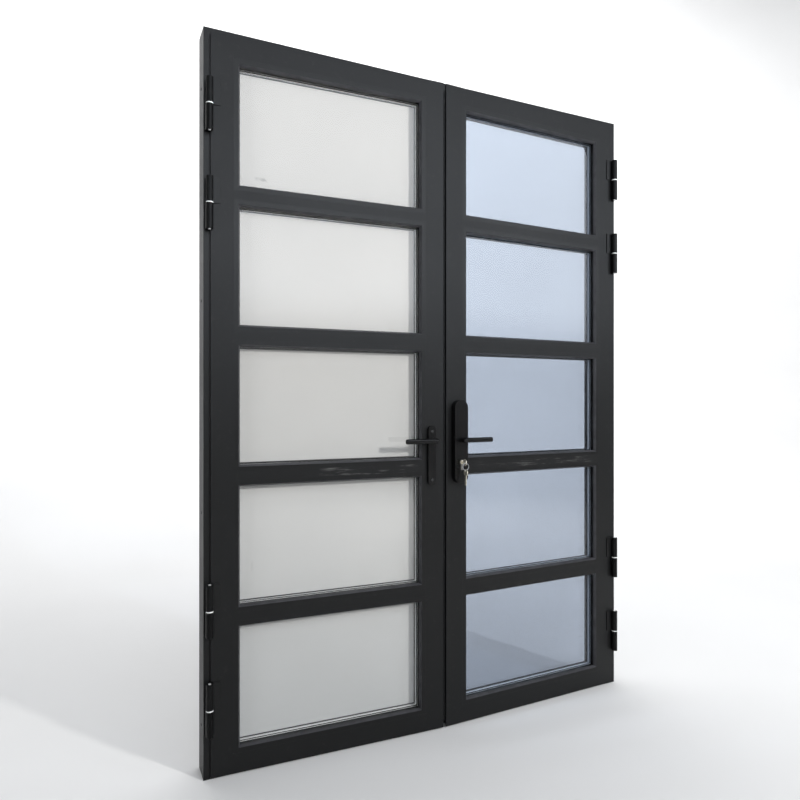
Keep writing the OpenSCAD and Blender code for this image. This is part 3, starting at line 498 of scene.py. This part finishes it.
def socket_screws(node_name):
    """Screws with a domed head and a hexagon socket, where the node's plain ones are."""
    bm = bmesh.new()
    for points in loose_parts(NODES[node_name].data):
        mid = sum(points, Vector()) / len(points)
        axis, side = leaf_axes(BODY_OF[node_name])
        heights = [p.dot(axis) for p in points]
        low, high = min(heights), max(heights)
        radial = [((p - mid) - axis * (p - mid).dot(axis)).length for p in points]
        head_r = max(radial)
        at_head = [h for h, r in zip(heights, radial) if r > 0.98 * head_r]
        neck_r = min(radial) if min(radial) > 0.2 * head_r else 0.5 * head_r
        if sum(at_head) / len(at_head) < (low + high) / 2:  # the head is at the rear
            axis, side = -axis, -side
            low, high = -high, -low
            at_head = [-h for h in at_head]
        base = min(at_head)
        tall = high - base
        socket_foot = high - max(0.55 * tall, 0.3 * head_r)
        outline = [
            (neck_r, low, False),
            (neck_r, base, False),
            (head_r, base, False),
            (head_r, base + 0.45 * tall, False),
            (0.96 * head_r, base + 0.72 * tall, False),
            (0.86 * head_r, base + 0.92 * tall, False),
            (0.70 * head_r, high, False),
            (0.47 * head_r, high, True),
            (0.43 * head_r, high - 0.06 * tall, True),
            (0.42 * head_r, socket_foot, True),
        ]
        origin = mid - axis * mid.dot(axis)
        rows = [screw_row(bm, origin, axis, side, *step) for step in outline]
        for a, b in zip(rows, rows[1:]):
            skin(bm, a, b)
        bm.faces.new(list(reversed(rows[0])))
        bm.faces.new(rows[-1])
    bmesh.ops.recalc_face_normals(bm, faces=bm.faces)
    name = node_name + "_socket"
    stand_for(node_name, mesh_from(bm, name, sharp=32), name)


def seam_ring(bm, axis, side, box, depth, inward, wide):
    """A thin black band round the inside of one spacer; box is the spacer's inner rectangle."""
    s0, s1, z0, z1 = box
    rows = []
    for h in (depth, depth + wide):
        for grow in (SEAM_HIDDEN, -inward):
            corners = (
                (s0 - grow, z0 - grow), (s1 + grow, z0 - grow),
                (s1 + grow, z1 + grow), (s0 - grow, z1 + grow),
            )
            rows.append([bm.verts.new(axis * h + side * s + UP * z) for s, z in corners])
    outer_low, inner_low, outer_high, inner_high = rows
    skin(bm, outer_low, inner_low)
    skin(bm, inner_low, inner_high)
    skin(bm, inner_high, outer_high)
    skin(bm, outer_high, outer_low)


def butyl_seams(leaf):
    """Black sealing lines between each spacer bar and its two sheets of glass."""
    bm = bmesh.new()
    axis, side = leaf_axes(leaf + "_leaf")
    for points in loose_parts(NODES[leaf + "_spacers"].data):
        across = [p.dot(side) for p in points]
        heights = [p.z for p in points]
        depths = [p.dot(axis) for p in points]
        box = (
            min(across) + SPACER_TALL, max(across) - SPACER_TALL,
            min(heights) + SPACER_TALL, max(heights) - SPACER_TALL,
        )
        thick, reach = SEAM_FRONT
        seam_ring(bm, axis, side, box, max(depths) - thick, reach, thick)
        thick, reach = SEAM_BACK
        seam_ring(bm, axis, side, box, min(depths), reach, thick)
    bmesh.ops.recalc_face_normals(bm, faces=bm.faces)
    mesh = mesh_from(bm, leaf + "_butyl")
    mesh.materials.append(RUBBER)
    o = bpy.data.objects.new(leaf + "_butyl_seams", mesh)
    SCENE.collection.objects.link(o)
    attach(o, leaf + "_leaf")


LEAF_OUT = {
    "left_leaf": (-math.sin(AJAR), -math.cos(AJAR), 0),
    "right_leaf": (math.sin(AJAR), -math.cos(AJAR), 0),
}
SPACER_TALL = 7 * MM  # a spacer bar's height, from the glass edge inwards
SEAM_HIDDEN = 0.6 * MM  # how far a seam goes into the spacer bar
SEAM_FRONT = (0.6 * MM, 0.6 * MM)  # thickness and inward reach by the front sheet
SEAM_BACK = (0.8 * MM, 2.8 * MM)  # and by the back sheet
EDGE_WIDTH = {  # in millimetres
    "left_plate": 1.8, "right_plate": 3.0, "right_rear_plate": 2.0,
    "frame_hinges": 0.8, "left_hinge_wings": 0.8, "right_hinge_wings": 0.8,
    "hinge_pins": 0.9, "key": 0.4, "spare_key": 0.4, "right_cylinder": 0.5,
}

for name, width in EDGE_WIDTH.items():
    rounded(name, width * MM)
for name in ("left_plate_screws", "right_plate_screws"):
    socket_screws(name)
for name in ("left", "right"):
    butyl_seams(name)


# ---- camera, floor and light ----


CAMERA_PLACE = (-1.04836, -1.92425, 1.05741)  # gives the photo's viewing angle
CAMERA_TURN = math.radians(25.62)  # from straight ahead towards the right leaf
CAMERA_REACH = 658.07 / 800  # focal length over the picture's width
CAMERA_RISE = 0.001  # shift of the picture, as a share of its width
SENSOR = 36  # millimetres


def camera():
    """A level camera, so that uprights stay upright."""
    data = bpy.data.cameras.new("camera")
    data.sensor_width = SENSOR
    data.lens = SENSOR * CAMERA_REACH
    data.shift_y = CAMERA_RISE
    data.clip_start = 0.05
    cam = bpy.data.objects.new("camera", data)
    cam.location = CAMERA_PLACE
    cam.rotation_euler = (math.radians(90), 0, -CAMERA_TURN)
    SCENE.collection.objects.link(cam)
    SCENE.camera = cam


def area(name, place, target, size, power, color=(1, 1, 1), mirrored=True):
    """A soft lamp that lights the scene and isn't seen; mirrored shows it in glossy faces."""
    data = bpy.data.lights.new(name, "AREA")
    data.shape = "RECTANGLE"
    data.size, data.size_y = size
    data.energy = power
    data.color = color
    o = bpy.data.objects.new(name, data)
    o.location = place
    o.rotation_euler = (Vector(target) - o.location).to_track_quat("-Z", "Y").to_euler()
    o.visible_camera = False
    o.visible_transmission = False  # lamps pass through glass as shadow rays only
    o.visible_glossy = mirrored
    SCENE.collection.objects.link(o)
    return data


def fade(light):
    """The lamp glows less towards its lower edge."""
    light.use_nodes = True
    nt = light.node_tree
    place = nt.nodes.new("ShaderNodeNewGeometry")
    sep = nt.nodes.new("ShaderNodeSeparateXYZ")
    link(nt, place.outputs["Parametric"], sep.inputs["Vector"])
    glow = remap(nt, sep.outputs["Y"], 0.0, 0.22, 0.04, 1.1, "SMOOTHSTEP")
    link(nt, glow, nt.nodes["Emission"].inputs["Strength"])


FLOOR_MID_Y = -2.2  # the flat floor's middle
FLOOR_HALF = (7.5, 4.4)  # half its length along X and along Y
CURVE_R = 3.6  # radius of the bend from floor to wall
CURVE_STEPS = 12
WALL_TOP = 9.0
AROUND = 96
SQUARENESS = 0.5  # 1 is an ellipse, and less is closer to a rectangle


def floor_row(bm, out, z):
    """Points round the stage, out from the flat floor's edge and at height z."""
    row = []
    for i in range(AROUND):
        t = math.tau * i / AROUND
        c, s = math.cos(t), math.sin(t)
        x = math.copysign(abs(c) ** SQUARENESS, c) * (FLOOR_HALF[0] + out)
        y = math.copysign(abs(s) ** SQUARENESS, s) * (FLOOR_HALF[1] + out) + FLOOR_MID_Y
        row.append(bm.verts.new((x, y, z)))
    return row


def stage():
    """A pale floor that curves up into a backdrop on every side."""
    profile = [(0.0, 0.0)]
    for i in range(1, CURVE_STEPS + 1):
        a = math.radians(90 * i / CURVE_STEPS)
        profile.append((CURVE_R * math.sin(a), CURVE_R * (1 - math.cos(a))))
    profile.append((CURVE_R, WALL_TOP))
    bm = bmesh.new()
    rows = [floor_row(bm, out, z) for out, z in profile]
    for inner, outer in zip(rows, rows[1:]):
        skin(bm, outer, inner)
    for f in bm.faces:
        f.smooth = True
    bm.faces.new(rows[0])
    mesh = bpy.data.meshes.new("studio")
    bm.to_mesh(mesh)
    bm.free()
    m, nt, b = new_material("studio_paper")
    color = ramp(nt, noise(nt, 0.8, 2), (0.3, (0.73, 0.73, 0.73)), (0.7, (0.76, 0.76, 0.76)))
    link(nt, color, b.inputs["Base Color"])
    b.inputs["Roughness"].default_value = 0.9
    b.inputs["Specular IOR Level"].default_value = 0.1
    mesh.materials.append(m)
    o = bpy.data.objects.new("studio", mesh)
    SCENE.collection.objects.link(o)


def world():
    """Faint even light from all round."""
    w = bpy.data.worlds.new("studio_sky")
    w.use_nodes = True
    bg = w.node_tree.nodes["Background"]
    bg.inputs["Color"].default_value = (0.94, 0.97, 1.0, 1)
    bg.inputs["Strength"].default_value = 0.13
    SCENE.world = w


KEY_FROM = Vector((0.543, -1, 0.33)) * 4.2  # from the left lever to the key light
WARM = (1.0, 0.985, 0.96)
COOL = (0.86, 0.92, 1.0)
PALE = (0.95, 0.97, 1.0)

camera()
stage()
world()
area("key", LEVER_MID + KEY_FROM, LEVER_MID, (0.3, 0.3), 155, WARM, mirrored=False)
fade(area("softbox", (1.4, -3.0, 2.7), (1.4, 0, 4.1), (5.6, 3.1), 190, COOL))
area("fill", (-3.8, -2.2, 1.9), (-0.2, 0, 1.1), (1.8, 1.8), 20, PALE)
area("backdrop", (1.9, 2.0, 6.0), (2.4, 4.7, 4.0), (11.0, 3.0), 620, mirrored=False)
area("rear_backdrop", (0, -3.4, 6.2), (0, -9.0, 2.2), (9.0, 2.0), 210, mirrored=False)
SCENE.view_settings.view_transform = "Standard"
